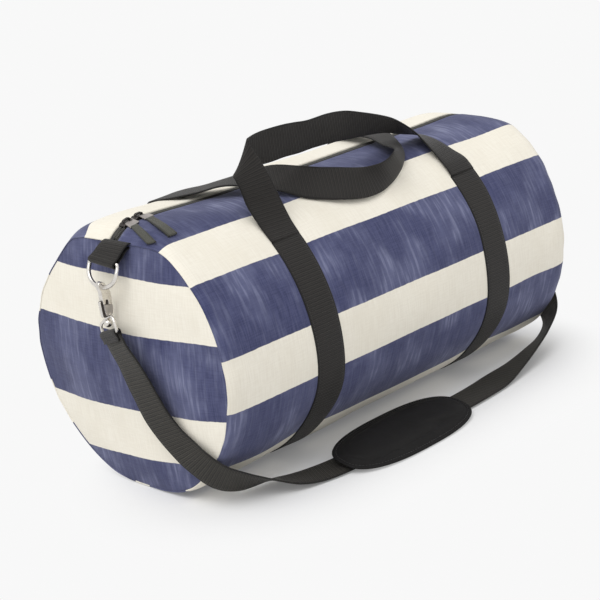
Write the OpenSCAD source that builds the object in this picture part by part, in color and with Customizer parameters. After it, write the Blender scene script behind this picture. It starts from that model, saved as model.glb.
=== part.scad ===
// Soft barrel weekender bag: a striped canvas tube with domed ends, a top zip
// with two sliders, two webbing carry handles and a clip-on shoulder strap.
// Frame: +X along the bag, +Y to the back, +Z up, origin on the ground under
// the middle of the bag. Millimetres.

/* [Body] */
// Length of the tube, from one end seam to the other
body_len = 536; // [480:4:600]
// Radius of the tube's round section
body_r = 140; // [136:1:146]
// Height of the tube's axis above the ground
axis_z = 135; // [133:1:136]
// Height to which the top of the tube has sunk flat along the zip
top_z = 270; // [268:0.5:272]
// Rise of each domed end panel past its seam
end_rise = 12; // [10:1:13]
// Thickness of the canvas with its seam allowances
cloth_t = 2; // [1.6:0.2:2.4]

/* [Webbing] */
// Width of the strap and handle webbing
web_w = 38; // [36:1:38]
// Thickness of the webbing
web_t = 1.8; // [1.4:0.2:2.0]
// Distance of each carrying band from the middle of the bag
band_x = 136; // [130:1:140]
// Angle from the top of the tube at which a handle leaves the bag
handle_angle = 44.8; // [44.6:0.1:45.4]

/* [Zip] */
// Width of the opening in which the zip shows
zip_gap = 14; // [13:1:16]
// Length of the zip
zip_len = 532; // [440:4:532]
// Distance between two teeth of one row
tooth_pitch = 4; // [4:1:8]

/* [Ring and hook] */
// Wire diameter of the D-ring
ring_wire = 4; // [3.6:0.2:4.2]
// Width of the D-ring between the centres of its legs
ring_w = 42; // [42:0.5:44]
// Angle by which the swivel eye is turned towards the front
eye_turn = 22; // [16:1:22]
// Thickness of the cast hook body
hook_t = 6.6; // [6.4:0.2:7]

/* [Shoulder pad] */
// Length of the shoulder pad
pad_len = 196; // [160:2:220]
// Width of the shoulder pad
pad_w = 74; // [60:2:80]
// Thickness of the shoulder pad
pad_t = 9; // [7:0.5:10]

/* [Hidden] */
$fn = 96;

navy = [0.30, 0.32, 0.48];
cream = [0.92, 0.89, 0.82];
charcoal = [0.17, 0.16, 0.15];
black = [0.08, 0.08, 0.08];
steel = [0.80, 0.80, 0.80];
gunmetal = [0.35, 0.34, 0.33];

// The canvas stands on the two webbing bands that pass under it
floor_z = web_t;
seam_x = body_len / 2;
// Half the width of the flat along the top of the tube
flat_half = sqrt(body_r * body_r - pow(top_z - axis_z, 2));
// Radius of the sphere that each end panel is a cap of
dome_r = (body_r * body_r + end_rise * end_rise) / (2 * end_rise);
// Surface of the end panel at a height z, measured outwards from the middle of the bag
function dome_x(z) = seam_x + end_rise - dome_r + sqrt(dome_r * dome_r - pow(z - axis_z, 2));

// Zip: the tape lies on the inside of the canvas and the teeth stand on the tape
tape_t = 1.2;
tape_z = top_z - cloth_t;
tooth_h = 2.2;
tooth_w = tooth_pitch * 0.45;
tooth_out = 3.6;
tooth_head = 0.7;
// The two sliders stand mouth to mouth, with the teeth parted between them
slider_x = [-250, -231];
slider_len = 15;
slider_w = 14;
slider_top = tape_z + tooth_h + 0.3;
plate_t = 1.2;
arch_h = 3.2;
pull_t = 1.6;
pin_z = slider_top + plate_t + 1.2;
eye_mid = (slider_x[0] + slider_x[1]) / 2;

// Ring, hook and strap end on one end of the bag, measured outwards along X
bar_x = seam_x + 14;
bar_z = 239.5;
bow_x = bar_x + 8.3;
bow_z = 215;
hook_x = bow_x;
pin_gate = [hook_x + 5, 196.5];
eye_top_z = 184;
eye_low_z = 166;
ring_tilt = atan2(bow_x - bar_x, bar_z - bow_z);
ring_drop = norm([bow_x - bar_x, bar_z - bow_z]);

// --- helpers -------------------------------------------------------------

// Extrude a Y-Z outline along X about the middle of the bag
module along_x(len) rotate([90, 0, 90]) linear_extrude(len, center = true) children();

// Extrude an X-Z outline along Y about the middle of the bag
module along_y(len) rotate([90, 0, 0]) linear_extrude(len, center = true) children();

// Section of the tube: a circle cut off flat at the ground and at the top
module section(r, low, high) {
    intersection() {
        translate([0, axis_z]) circle(r, $fn = 180);
        translate([-r, low]) square([2 * r, high - low]);
    }
}

// Put a piece made for the +X end on one end: side is 1 or -1
module at_end(side) {
    if (side > 0) children();
    else mirror([1, 0, 0]) children();
}

function unit(v) = v / norm(v);
// Catmull-Rom curve through a list of points, n steps to a span
function spline(p, n) = [
    for (i = [0 : len(p) - 2]) let (
        a = p[max(i - 1, 0)], b = p[i], c = p[i + 1], d = p[min(i + 2, len(p) - 1)])
        for (k = [0 : n - 1]) let (t = k / n)
            0.5 * (2 * b + (c - a) * t + (2 * a - 5 * b + 4 * c - d) * t * t
                + (3 * b - a - 3 * c + d) * t * t * t),
    p[len(p) - 1]];

// Webbing ribbon swept through stations, each [centre, direction across, width]
module ribbon(stations, t, n) {
    mid = spline([for (s = stations) s[0]], n);
    across = spline([for (s = stations) unit(s[1]) * s[2] / 2], n);
    last = len(mid) - 1;
    rings = [for (i = [0 : last]) let (
        along = mid[min(i + 1, last)] - mid[max(i - 1, 0)],
        up = unit(cross(along, across[i])) * t / 2,
        w = across[i],
        chamfer = 0.97)
        [mid[i] + w, mid[i] + w * chamfer + up, mid[i] - w * chamfer + up,
         mid[i] - w, mid[i] - w * chamfer - up, mid[i] + w * chamfer - up]];
    corners = 6;
    polyhedron(
        points = [for (r = rings) each r],
        faces = concat(
            [[for (k = [0 : corners - 1]) k]],
            [for (i = [0 : last - 1]) for (k = [0 : corners - 1]) let (
                a = i * corners + k, b = i * corners + (k + 1) % corners)
                each [[a, a + corners, b], [b, a + corners, b + corners]]],
            [[for (k = [0 : corners - 1]) last * corners + corners - 1 - k]]),
        convexity = 6);
}

// --- canvas --------------------------------------------------------------

module body_panel() {
    tube = body_len - 2 * cloth_t - 0.2;
    color(navy) difference() {
        along_x(tube) section(body_r, floor_z, top_z);
        along_x(tube + 2) section(body_r - cloth_t, floor_z + cloth_t, tape_z);
        translate([-zip_len / 2, -zip_gap / 2, axis_z + body_r / 2]) cube([zip_len, zip_gap, body_r]);
    }
}

module end_panel(side) {
    color(cream) at_end(side) intersection() {
        translate([seam_x, 0, axis_z]) rotate([0, 90, 0]) rotate_extrude($fn = 180) intersection() {
            translate([0, end_rise - dome_r]) difference() {
                circle(dome_r, $fn = 720);
                circle(dome_r - cloth_t, $fn = 720);
            }
            translate([0, -cloth_t - 0.05]) square([body_r, end_rise + cloth_t + 1]);
        }
        translate([0, -body_r, floor_z]) cube([seam_x + 2 * end_rise, 2 * body_r, top_z - floor_z]);
    }
}

// Folded tape over the raw edges of the end seam, inside the bag
module seam_binding(side) {
    inner = body_r - cloth_t;
    color(black) at_end(side) intersection() {
        translate([seam_x - 6, 0, axis_z]) rotate([0, 90, 0]) rotate_extrude($fn = 180)
            translate([inner - 9, 0]) square([9, 3]);
        difference() {
            translate([0, -body_r, floor_z + cloth_t])
                cube([seam_x, 2 * body_r, 2 * body_r]);
            translate([0, -flat_half - 3, axis_z]) cube([seam_x, 2 * flat_half + 6, body_r]);
        }
    }
}

// --- zip -----------------------------------------------------------------

module zip_tape(side) {
    color(black) translate([-(zip_len - 1) / 2, side > 0 ? 1.3 : -16, tape_z - tape_t])
        cube([zip_len - 1, 14.7, tape_t]);
}

// How far a tooth stands back from the closed line of the zip
function parted(x) = 2.1 * max(0, 1 - pow((x - eye_mid) / 17, 2));

// One row of teeth with the cord that binds them along the tape
module zip_coil(side) {
    count = floor((zip_len - 8) / tooth_pitch);
    shift = side > 0 ? 0 : tooth_pitch / 2;
    color(black) translate([0, 0, tape_z]) linear_extrude(tooth_h) scale([1, side]) {
        translate([-zip_len / 2 + 2, tooth_out - 1]) square([zip_len - 4, 1]);
        for (i = [0 : count - 1]) let (x = -zip_len / 2 + 3 + shift + i * tooth_pitch)
            translate([x, parted(x) - tooth_head]) square([tooth_w, tooth_out + tooth_head - 0.65 * parted(x)]);
    }
}

// Slider: two plates round the teeth, a divider at the mouth and an arch on top
module zip_slider(x, mouth) {
    half = slider_w / 2;
    low = tape_z - tape_t - 0.6 - plate_t;
    color(gunmetal) translate([x, 0, 0]) {
        for (z = [low, slider_top]) translate([0, 0, z]) linear_extrude(plate_t) slider_plate(mouth);
        // side flanges down to the tape
        for (s = [-1, 1]) translate([-slider_len / 2 + 1.5, s * (half - 1.4) - 0.6, tape_z + 0.5])
            cube([slider_len - 3, 1.2, slider_top - tape_z]);
        // divider that parts the teeth
        translate([mouth * (slider_len / 2 - 2.6), 0, low]) cylinder(h = slider_top - low + 1, r = 0.95, $fn = 24);
        slider_arch();
    }
}

// Outline of the slider's plates, narrower at the tail
module slider_plate(mouth) {
    half = slider_w / 2;
    long = slider_len / 2;
    offset(r = 1.5, $fn = 24) offset(delta = -1.5) polygon([[-mouth * long, -half + 1.6], [mouth * long, -half],
        [mouth * long, half], [-mouth * long, half - 1.6]]);
}

// Arch across the slider under which the pull's bar turns
module slider_arch() {
    translate([0, 0, slider_top + plate_t]) rotate([90, 0, 90]) linear_extrude(5, center = true) difference() {
        translate([-4.2, -0.2]) square([8.4, arch_h + 0.2]);
        translate([-2.4, 0]) square([4.8, arch_h - 1]);
    }
}

// Metal pull: a bar that turns under the arch, two arms and a flat plate
module zip_pull(x) {
    color(gunmetal) translate([x, 0, pin_z]) {
        rotate([0, 90, 0]) cylinder(h = 12, r = pull_t / 2, center = true, $fn = 32);
        for (s = [-1, 1]) translate([s * 5 - 1, -7.5, -pull_t / 2]) cube([2, 7.5, pull_t]);
        translate([-6, -13, -pull_t / 2]) cube([12, 6, pull_t]);
    }
}

// Webbing grip that is folded round the end of the pull's plate
module pull_strip(x) {
    color(charcoal) ribbon([
        [[x, -13.5, pin_z], [1, 0, 0], 11],
        [[x - 2, -24, pin_z - 0.6], [.98, -.18, 0], 11],
        [[x - 5, -36, top_z + 1.4], [.96, -.28, -.04], 11],
        [[x - 9, -48, top_z - 1.8], [.96, -.28, -.1], 11],
        [[x - 13, -58, top_z - 5.7], [.96, -.28, -.13], 11]], 2, 2);
}

// --- webbing -------------------------------------------------------------

// Band sewn round the bag: up the front, under the base and up the back
module band(x) {
    far = 3 * body_r;
    color(charcoal) translate([x, 0, 0]) along_x(web_w) difference() {
        section(body_r + web_t, 0, 2 * body_r);
        section(body_r, floor_z, 2 * body_r);
        translate([0, axis_z]) polygon([[0, 0], [far * sin(handle_angle), far * cos(handle_angle)],
            [-far * sin(handle_angle), far * cos(handle_angle)]]);
    }
}

// Handle edges by hand, each [first edge, second edge], in order along the webbing
front_edges = [
    [[-155, -99, 238], [-117, -99, 238]], [[-156, -87, 249], [-118, -87, 249]],
    [[-160, -76, 272], [-122, -78, 268]], [[-165, -69, 290], [-126, -71, 290]],
    [[-158, -64, 301], [-128, -61, 314]], [[-140, -60, 301], [-121, -47, 330]],
    [[-115, -58, 300], [-104, -36, 329]], [[-77, -57, 298], [-74, -30, 326]],
    [[-44, -56, 297], [-44, -29, 324]], [[-14, -55, 294], [-14, -31, 325]],
    [[16, -54, 292], [17, -32, 322]], [[46, -53, 289], [47, -27, 316]],
    [[82, -51, 287], [80, -20, 308]], [[106, -47, 285], [102, -16, 302]],
    [[126, -42, 283], [116, -26, 296]], [[140, -42, 279], [114, -44, 287]],
    [[150, -54, 270], [116, -60, 275]], [[154, -73, 260], [116, -75, 264]],
    [[155, -87, 249], [117, -87, 250]], [[155, -99, 238], [117, -99, 238]]];
rear_edges = [
    [[-117, 99, 238], [-155, 99, 238]], [[-117, 85, 251], [-155, 84, 251]],
    [[-134, 70, 263], [-168, 61, 266]], [[-135, 43, 272], [-169, 28, 274]],
    [[-128, 21, 278], [-158, -2, 278]], [[-116, 5, 281], [-142, -22, 281]],
    [[-102, -12, 285], [-125, -40, 278]], [[-82, -33, 289], [-100, -59, 269]],
    [[-61, -53, 285], [-77, -74, 257]], [[-44, -63, 280], [-58, -84, 252]],
    [[-29, -69, 277], [-41, -94, 251]], [[-20, -71, 274], [-32, -91, 246]],
    [[-10, -81, 273], [-11, -95, 242]], [[0, -90, 273], [13, -94, 243]],
    [[12, -95, 274], [34, -89, 247]], [[25, -95, 276], [51, -84, 252]],
    [[38, -92, 280], [65, -79, 259]], [[56, -76, 278], [86, -63, 266]],
    [[71, -46, 276], [105, -36, 274]], [[81, -18, 279], [116, -10, 279]],
    [[88, 16, 278], [123, 21, 278]], [[102, 56, 269], [139, 53, 269]],
    [[116, 84, 251], [154, 84, 251]], [[117, 99, 238], [155, 99, 238]]];
// Stations of a ribbon from its two edges
function from_edges(edges) = [for (e = edges) [(e[0] + e[1]) / 2, e[1] - e[0], norm(e[1] - e[0])]];

module handle_front() color(charcoal) ribbon(from_edges(front_edges), web_t, 2);

module handle_rear() color(charcoal) ribbon(from_edges(rear_edges), web_t, 2);

// Short webbing loop sewn into the end seam, with the D-ring's bar in its fold
module ring_tab(side) {
    fold = ring_wire / 2 + 0.1;
    color(charcoal) at_end(side) along_y(web_w - 0.6) difference() {
        union() {
            polygon([[dome_x(258) + 0.3, 258.5], [dome_x(247) + 0.3, 247],
                [bar_x - 1, bar_z - fold - web_t], [bar_x + fold + web_t, bar_z],
                [bar_x + fold, bar_z + 4], [dome_x(258) + 3.4, 258.5]]);
            translate([bar_x, bar_z]) circle(fold + web_t, $fn = 48);
        }
        translate([bar_x, bar_z]) circle(fold, $fn = 48);
    }
}

// --- ring, hook and eye --------------------------------------------------

// D-ring: a straight bar, two legs and a half-round bow, leaning out from the bar
module d_ring(side) {
    r = ring_wire / 2;
    bow_r = ring_w / 2;
    leg = ring_drop - bow_r;
    color(steel) at_end(side) translate([bar_x, 0, bar_z]) rotate([0, -ring_tilt, 0]) {
        rotate([90, 0, 0]) cylinder(h = ring_w, r = r, center = true, $fn = 48);
        for (s = [-1, 1]) translate([0, s * bow_r, 0]) {
            sphere(r, $fn = 48);
            translate([0, 0, -leg]) cylinder(h = leg, r = r, $fn = 48);
        }
        translate([0, 0, -leg]) rotate([0, 90, 0]) rotate([0, 0, -90]) rotate_extrude(angle = 180, $fn = 96)
            translate([bow_r, 0]) circle(r, $fn = 48);
    }
}

// Cast hook: claw over the ring, fork for the gate, neck and swivel rivet
module hook_body(side) {
    color(steel) at_end(side) difference() {
        union() {
            along_y(hook_t) difference() {
                hook_outline();
                hook_mouth();
            }
            translate([hook_x, 0, eye_top_z - 6]) cylinder(h = 9, r = 1.7, $fn = 48);
            translate([hook_x, 0, eye_top_z + 1.9]) cylinder(h = 3, r = 3.2, $fn = 48);
            translate([hook_x, 0, eye_top_z - 5.2]) sphere(3, $fn = 48);
        }
        // slot for the gate
        translate([hook_x + 1, -2.1, 190.5]) cube([9, 4.2, 20.8]);
        translate([pin_gate[0], 0, pin_gate[1]]) rotate([90, 0, 0]) cylinder(h = 20, r = 1, center = true, $fn = 32);
    }
}

// Outside of the hook in its own plane
module hook_outline() {
    hull() {
        translate([hook_x, 213.8]) circle(6.6, $fn = 64);
        translate([hook_x + 0.2, 197]) circle(6.6, $fn = 64);
        translate([hook_x, 189.5]) circle(3.4, $fn = 48);
    }
}

// Room for the ring inside the claw, open where the gate closes it
module hook_mouth() {
    hull() {
        translate([hook_x, 213.8]) circle(4, $fn = 48);
        translate([hook_x, 204]) circle(4, $fn = 48);
    }
    translate([hook_x, 201.2]) square([10, 10]);
}

// Sprung gate with its thumb lever, turning on the pin
module hook_gate(side) {
    color(steel) at_end(side) translate([0, -0.35, 0]) along_y(2.9) difference() {
        union() {
            hull() {
                translate(pin_gate) circle(1.9, $fn = 32);
                translate([hook_x + 5.4, 209.9]) circle(1.2, $fn = 32);
            }
            hull() {
                translate(pin_gate) circle(1.9, $fn = 32);
                translate([hook_x + 8.6, 192.5]) circle(1.2, $fn = 32);
            }
        }
        translate(pin_gate) circle(1.06, $fn = 32);
    }
}

module gate_pin(side) {
    color(gunmetal) at_end(side) translate([pin_gate[0], 0, pin_gate[1]]) rotate([90, 0, 0])
        cylinder(h = hook_t + 0.4, r = 1, center = true, $fn = 32);
}

// Turns of the torsion spring beside the gate
module gate_spring(side) {
    color(gunmetal) at_end(side) translate([pin_gate[0], 0, pin_gate[1]]) rotate([90, 0, 0])
        for (i = [0 : 1]) translate([0, 0, -1.5 - 0.36 * i]) rotate_extrude($fn = 48)
            translate([1.22, 0]) circle(0.2, $fn = 16);
}

// Rectangular eye that the strap is sewn to; the hook turns on its top bar
module swivel_eye(side) {
    r = 1.8;
    half = web_w / 2 + 0.6 + r;
    color(steel) at_end(side) translate([hook_x, 0, 0]) rotate([0, 0, eye_turn]) difference() {
        union() {
            for (z = [eye_top_z, eye_low_z]) translate([0, 0, z]) rotate([90, 0, 0])
                cylinder(h = 2 * half, r = r, center = true, $fn = 48);
            for (s = [-1, 1]) translate([0, s * half, eye_low_z]) {
                cylinder(h = eye_top_z - eye_low_z, r = r, $fn = 48);
                sphere(r, $fn = 48);
                translate([0, 0, eye_top_z - eye_low_z]) sphere(r, $fn = 48);
            }
            translate([0, 0, eye_top_z - 1.8]) cylinder(h = 3.6, r = 3.6, $fn = 48);
        }
        translate([0, 0, eye_top_z - 4]) cylinder(h = 8, r = 1.8, $fn = 48);
    }
}

// Folded and stitched end of the shoulder strap on the eye's lower bar
module strap_end(side) {
    fold = 1.9;
    color(charcoal) at_end(side) translate([hook_x, 0, 0]) rotate([0, 0, eye_turn]) difference() {
        union() {
            translate([0, 0, eye_low_z]) rotate([90, 0, 0])
                cylinder(h = web_w, r = fold + web_t, center = true, $fn = 48);
            hull() {
                translate([0, 0, eye_low_z - 2]) cube([2 * web_t + 2.4, web_w, 1], center = true);
                translate([0.4, -9, eye_low_z - 16]) cube([2 * web_t, web_w, 0.6], center = true);
            }
        }
        translate([0, 0, eye_low_z]) rotate([90, 0, 0])
            cylinder(h = web_w + 2, r = fold, center = true, $fn = 48);
    }
}

// --- shoulder strap ------------------------------------------------------

// Stations of the strap, left end to right end: centre and direction across
strap_route = [
    [[-294, -8.2, 149.2], [-.375, -.927, 0]], [[-292.8, -20, 138], [-.2, -.9, .38]],
    [[-290, -35, 118], [0, -.84, .54]], [[-288, -48, 98], [0, -.8, .6]],
    [[-284, -62, 78], [0, -.75, .66]], [[-280, -77, 60], [0, -.68, .73]],
    [[-274, -94, 43], [0, -.62, .78]], [[-264, -108, 32], [-.1, -.58, .8]],
    [[-240, -111, 21], [-.25, -.62, .74]], [[-208, -118, 12], [-.5, -.78, .38]],
    [[-185, -127, 6], [-.5, -.85, .12]], [[-160, -133, 3], [-.45, -.89, 0]],
    [[-131, -138, 3], [-.3, -.95, 0]], [[-90, -140, 3], [-.1, -1, 0]],
    [[-40, -140, 3], [0, -1, 0]], [[10, -139, 3], [0, -1, 0]],
    [[50, -138, 3], [0, -1, 0]], [[94, -136, 3], [0, -1, 0]],
    [[130, -133, 4], [-.15, -1, 0]], [[167, -129, 8], [-.3, -.9, .2]],
    [[200, -126, 15], [-.45, -.8, .3]], [[232, -120, 22], [-.4, -.76, .5]],
    [[261, -110, 32], [-.2, -.7, .65]], [[276, -96, 44], [0, -.66, .72]],
    [[284, -79, 62], [0, -.72, .68]], [[288, -64, 84], [0, -.82, .57]],
    [[288, -50, 104], [0, -.82, .57]], [[288, -36, 124], [0, -.82, .57]],
    [[292.8, -20, 138], [.2, -.9, .38]], [[294, -8.2, 149.2], [.375, -.927, 0]]];

module shoulder_strap() color(charcoal) ribbon([for (s = strap_route) [s[0], s[1], web_w]], web_t, 2);

// Three-bar slider on the strap's rise to the right hook: the strap runs over
// the middle bar and under the two outer bars
module strap_adjuster() {
    bar = 2.2;
    gap = web_t / 2 + 0.3;
    rail = web_w / 2 + 1;
    color(gunmetal) translate([288, -50, 104]) rotate([-35, 0, 0]) {
        for (s = [-1, 1]) {
            translate([-gap - bar, s * (rail + 1.4) - 1.4, -11]) cube([2 * (gap + bar), 2.8, 22]);
            translate([gap, -rail - 1, s * 8.5 - 2.5]) cube([bar, 2 * rail + 2, 5]);
        }
        translate([-gap - bar, -rail - 1, -2.5]) cube([bar, 2 * rail + 2, 5]);
    }
}

// Padded shoulder piece with round ends, lying over the strap
module shoulder_pad() {
    color(black) translate([-37, -137, 4.4]) hull() {
        for (s = [-1, 1]) translate([s * (pad_len - pad_w) / 2, 0, 0]) {
            translate([0, 0, 1.5]) cylinder(h = pad_t - 4, r = pad_w / 2, $fn = 32);
            cylinder(h = pad_t, r = pad_w / 2 - 5, $fn = 32);
        }
    }
}

// Keeper loops under the pad that the strap runs through
module pad_loops() {
    color(charcoal) for (x = [-90, 16]) translate([x - 8, -137, 0]) difference() {
        translate([0, -web_w / 2 - 6, 0.2]) cube([16, web_w + 12, 4.2]);
        translate([-1, -web_w / 2 - 4.5, 1.2]) cube([18, web_w + 9, 4]);
    }
}

body_panel();
end_panel(-1);  // end_panel_left
end_panel(1);  // end_panel_right
seam_binding(-1);  // seam_binding_left
seam_binding(1);  // seam_binding_right
zip_tape(-1);  // zip_tape_front
zip_tape(1);  // zip_tape_rear
zip_coil(-1);  // zip_coil_front
zip_coil(1);  // zip_coil_rear
zip_slider(slider_x[0], 1);  // zip_slider_left
zip_slider(slider_x[1], -1);  // zip_slider_right
zip_pull(slider_x[0]);  // zip_pull_left
zip_pull(slider_x[1]);  // zip_pull_right
pull_strip(slider_x[0]);  // pull_strip_left
pull_strip(slider_x[1]);  // pull_strip_right
band(-band_x);  // band_left
band(band_x);  // band_right
handle_front();
handle_rear();
ring_tab(-1);  // ring_tab_left
ring_tab(1);  // ring_tab_right
d_ring(-1);  // d_ring_left
d_ring(1);  // d_ring_right
swivel_eye(-1);  // swivel_eye_left
swivel_eye(1);  // swivel_eye_right
hook_body(-1);  // hook_body_left
hook_body(1);  // hook_body_right
hook_gate(-1);  // hook_gate_left
hook_gate(1);  // hook_gate_right
gate_pin(-1);  // gate_pin_left
gate_pin(1);  // gate_pin_right
gate_spring(-1);  // gate_spring_left
gate_spring(1);  // gate_spring_right
strap_end(-1);  // strap_end_left
strap_end(1);  // strap_end_right
shoulder_strap();
strap_adjuster();
shoulder_pad();
pad_loops();
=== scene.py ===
# %% [markdown]
# # A striped weekender bag
# The bag is a soft tube of striped canvas with a domed panel at each end, a
# zip along the top, two webbing handles and a shoulder strap on hooks. The
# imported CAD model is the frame: it fixes the sizes, and every piece made here
# stands in the same place, in metres, and moves with one of its bodies.

# %% Open the frame
import math

import bmesh
import bpy
import numpy as np
from mathutils import Matrix, Vector


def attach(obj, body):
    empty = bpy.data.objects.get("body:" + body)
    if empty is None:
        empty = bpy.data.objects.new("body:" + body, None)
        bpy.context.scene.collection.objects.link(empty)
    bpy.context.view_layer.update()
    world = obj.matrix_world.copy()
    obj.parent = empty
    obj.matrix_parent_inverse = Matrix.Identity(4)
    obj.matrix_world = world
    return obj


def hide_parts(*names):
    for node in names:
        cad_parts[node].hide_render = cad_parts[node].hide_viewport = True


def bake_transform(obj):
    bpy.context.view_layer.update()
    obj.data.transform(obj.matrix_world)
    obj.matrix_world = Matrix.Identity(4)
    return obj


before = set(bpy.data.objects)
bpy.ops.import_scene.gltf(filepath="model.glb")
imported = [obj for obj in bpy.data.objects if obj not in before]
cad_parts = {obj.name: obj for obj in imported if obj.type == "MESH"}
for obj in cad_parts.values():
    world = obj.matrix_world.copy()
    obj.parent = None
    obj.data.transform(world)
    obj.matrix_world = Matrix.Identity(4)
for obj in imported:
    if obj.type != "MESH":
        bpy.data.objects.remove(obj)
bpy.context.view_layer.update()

# each end of the bag: its side along x and its label
ENDS = ((-1, "left"), (1, "right"))

# %% [markdown]
# ## Camera
# A long lens from the front left shows one end panel and the zip. The camera
# comes first, because how far a strap may lie out of sight depends on it. Its
# axes are worked out from a heading, a tilt and a slight roll.

# %% Camera
def shown(name, data):
    """A new object in the scene."""
    made = bpy.data.objects.new(name, data)
    bpy.context.scene.collection.objects.link(made)
    return made


SENSOR = 36
LENS = 95.97
STANDPOINT = (-1.1643, -1.1819, 0.6416)
heading, tilt, roll = (math.radians(a) for a in (43.80, -17.50, -6.37))
forward = Vector((math.sin(heading) * math.cos(tilt), math.cos(heading) * math.cos(tilt), math.sin(tilt)))
level = Vector((math.cos(heading), -math.sin(heading), 0))
over = level.cross(forward)
right = math.cos(roll) * level + math.sin(roll) * over
above = -math.sin(roll) * level + math.cos(roll) * over
camera = shown("camera", bpy.data.cameras.new("camera"))
camera.data.lens, camera.data.sensor_width, camera.data.clip_end = LENS, SENSOR, 100
camera.matrix_world = Matrix.Translation(STANDPOINT) @ Matrix((right, above, -forward)).transposed().to_4x4()
bpy.context.scene.camera = camera
print("lens, mm:", round(camera.data.lens, 2))

# %% [markdown]
# ## Floor and light
# A pale floor shows the soft shadow under the bag. The sky gives an even
# light and a wide sun adds a soft direction from the upper left. Together
# they are about as bright as a white sheet in the open, so that a colour
# renders about as it is written. Where the camera, a mirror or a clear piece
# sees the sky, it sees the same pale grey as the floor.

# %% Floor and light
def connect(tree, socket, value):
    """Set an input to a value, or join it to another node's output."""
    value = getattr(value, "socket", value)
    if isinstance(value, bpy.types.NodeSocket):
        tree.links.new(value, socket)
    else:
        socket.default_value = value


def node(tree, kind, inputs=None, **settings):
    """A new node with its settings and its inputs."""
    made = tree.nodes.new(kind)
    for key, value in settings.items():
        setattr(made, key, value)
    for key, value in (inputs or {}).items():
        connect(tree, made.inputs[key], value)
    return made


class Sum:
    """A number in a node tree. What is worked out with it becomes Math nodes."""

    def __init__(self, tree, socket):
        self.tree, self.socket = tree, socket

    def maths(self, operation, other=0.0):
        """What a Math node makes of this number and another."""
        made = node(self.tree, "ShaderNodeMath", {0: self.socket, 1: other}, operation=operation)
        return Sum(self.tree, made.outputs[0])

    def __add__(self, other):
        return self.maths("ADD", other)

    def __sub__(self, other):
        return self.maths("SUBTRACT", other)

    def __mul__(self, other):
        return self.maths("MULTIPLY", other)

    def __truediv__(self, other):
        return self.maths("DIVIDE", other)

    def wave(self, pitch):
        """A sine wave with one crest to each pitch."""
        return (self * (2 * math.pi / pitch)).maths("SINE")


def split(tree, place):
    """The three numbers of a place."""
    return [Sum(tree, number) for number in node(tree, "ShaderNodeSeparateXYZ", {0: place}).outputs]


def ramp(value, low, high, out_low=0.0, out_high=1.0):
    """A number taken softly from one range to another and held at the ends."""
    made = node(value.tree, "ShaderNodeMapRange", {0: value, 1: low, 2: high, 3: out_low, 4: out_high},
                interpolation_type="SMOOTHSTEP")
    return Sum(value.tree, made.outputs[0])


FLOOR_HALF = 20
PALE = (0.94, 0.94, 0.94, 1)
# the shadow is kept round a line under the bag: its y and its two ends along x
FOOT_Y, FOOT_LEFT, FOOT_RIGHT = -0.06, -0.18, 0.16
# the floor grows pale between these distances from the line, from this share up; near the bag the glow at
# that least share is painted light that lightens the floor's shadow
PALE_FROM, PALE_BY, PALE_LEAST = 0.075, 0.19, 0.13
floor_mesh = bpy.data.meshes.new("floor")
floor_mesh.from_pydata([(x * FLOOR_HALF, y * FLOOR_HALF, 0) for x, y in ((-1, -1), (1, -1), (1, 1), (-1, 1))],
                       [], [(0, 1, 2, 3)])
floor = shown("floor", floor_mesh)
floor_paint = bpy.data.materials.new("pale_floor")
floor_paint.use_nodes = True
floor_tree = floor_paint.node_tree
paint = floor_tree.nodes["Principled BSDF"]
paint.inputs["Base Color"].default_value = (0.80, 0.80, 0.80, 1)
paint.inputs["Roughness"].default_value = 0.9
paint.inputs["Specular IOR Level"].default_value = 0.0
# away from that line, the camera sees one even pale grey
spot_x, spot_y, _ = split(floor_tree, node(floor_tree, "ShaderNodeTexCoord").outputs["Object"])
off_x = spot_x - node(floor_tree, "ShaderNodeClamp", {0: spot_x, 1: FOOT_LEFT, 2: FOOT_RIGHT}).outputs[0]
off_y = spot_y - FOOT_Y
reach = (off_x * off_x + off_y * off_y).maths("SQRT")
even = ramp(reach, PALE_FROM, PALE_BY, PALE_LEAST)
even = even * node(floor_tree, "ShaderNodeLightPath").outputs["Is Camera Ray"]
pale = node(floor_tree, "ShaderNodeEmission", {"Color": PALE})
ground = node(floor_tree, "ShaderNodeMixShader", {0: even, 1: paint.outputs[0], 2: pale.outputs[0]})
floor_tree.links.new(ground.outputs[0], floor_tree.nodes["Material Output"].inputs[0])
floor_mesh.materials.append(floor_paint)

world = bpy.data.worlds.new("studio")
bpy.context.scene.world = world
world.use_nodes = True
sky = world.node_tree
sky.nodes.clear()
rays = node(sky, "ShaderNodeLightPath").outputs
seen = Sum(sky, rays["Is Glossy Ray"]).maths("MAXIMUM", rays["Is Transmission Ray"])
seen = seen.maths("MAXIMUM", rays["Is Camera Ray"])
glow = node(sky, "ShaderNodeBackground", {"Color": (1, 1, 1, 1), "Strength": 0.72})
plain = node(sky, "ShaderNodeBackground", {"Color": PALE, "Strength": 1.0})
both = node(sky, "ShaderNodeMixShader", {0: seen, 1: glow.outputs[0], 2: plain.outputs[0]})
node(sky, "ShaderNodeOutputWorld", {0: both.outputs[0]})

sun = shown("sun", bpy.data.lights.new("sun", "SUN"))
sun.data.energy = 1.65
sun.data.angle = math.radians(45)
sun.rotation_euler = Vector((-0.55, -0.10, 1.0)).to_track_quat("Z", "Y").to_euler()
bpy.context.scene.view_settings.view_transform = "Standard"

# %% [markdown]
# ## Small tools for soft pieces
# Every soft piece here is a sheet that follows a rule, so its points are
# worked out as rows and columns and joined into faces. A sheet carries a map
# in metres, "cloth", that says where each point lies in the flat fabric. The
# weave, the ribs and the stripes are drawn on that map, so that they bend
# with the cloth instead of passing through it.

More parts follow.
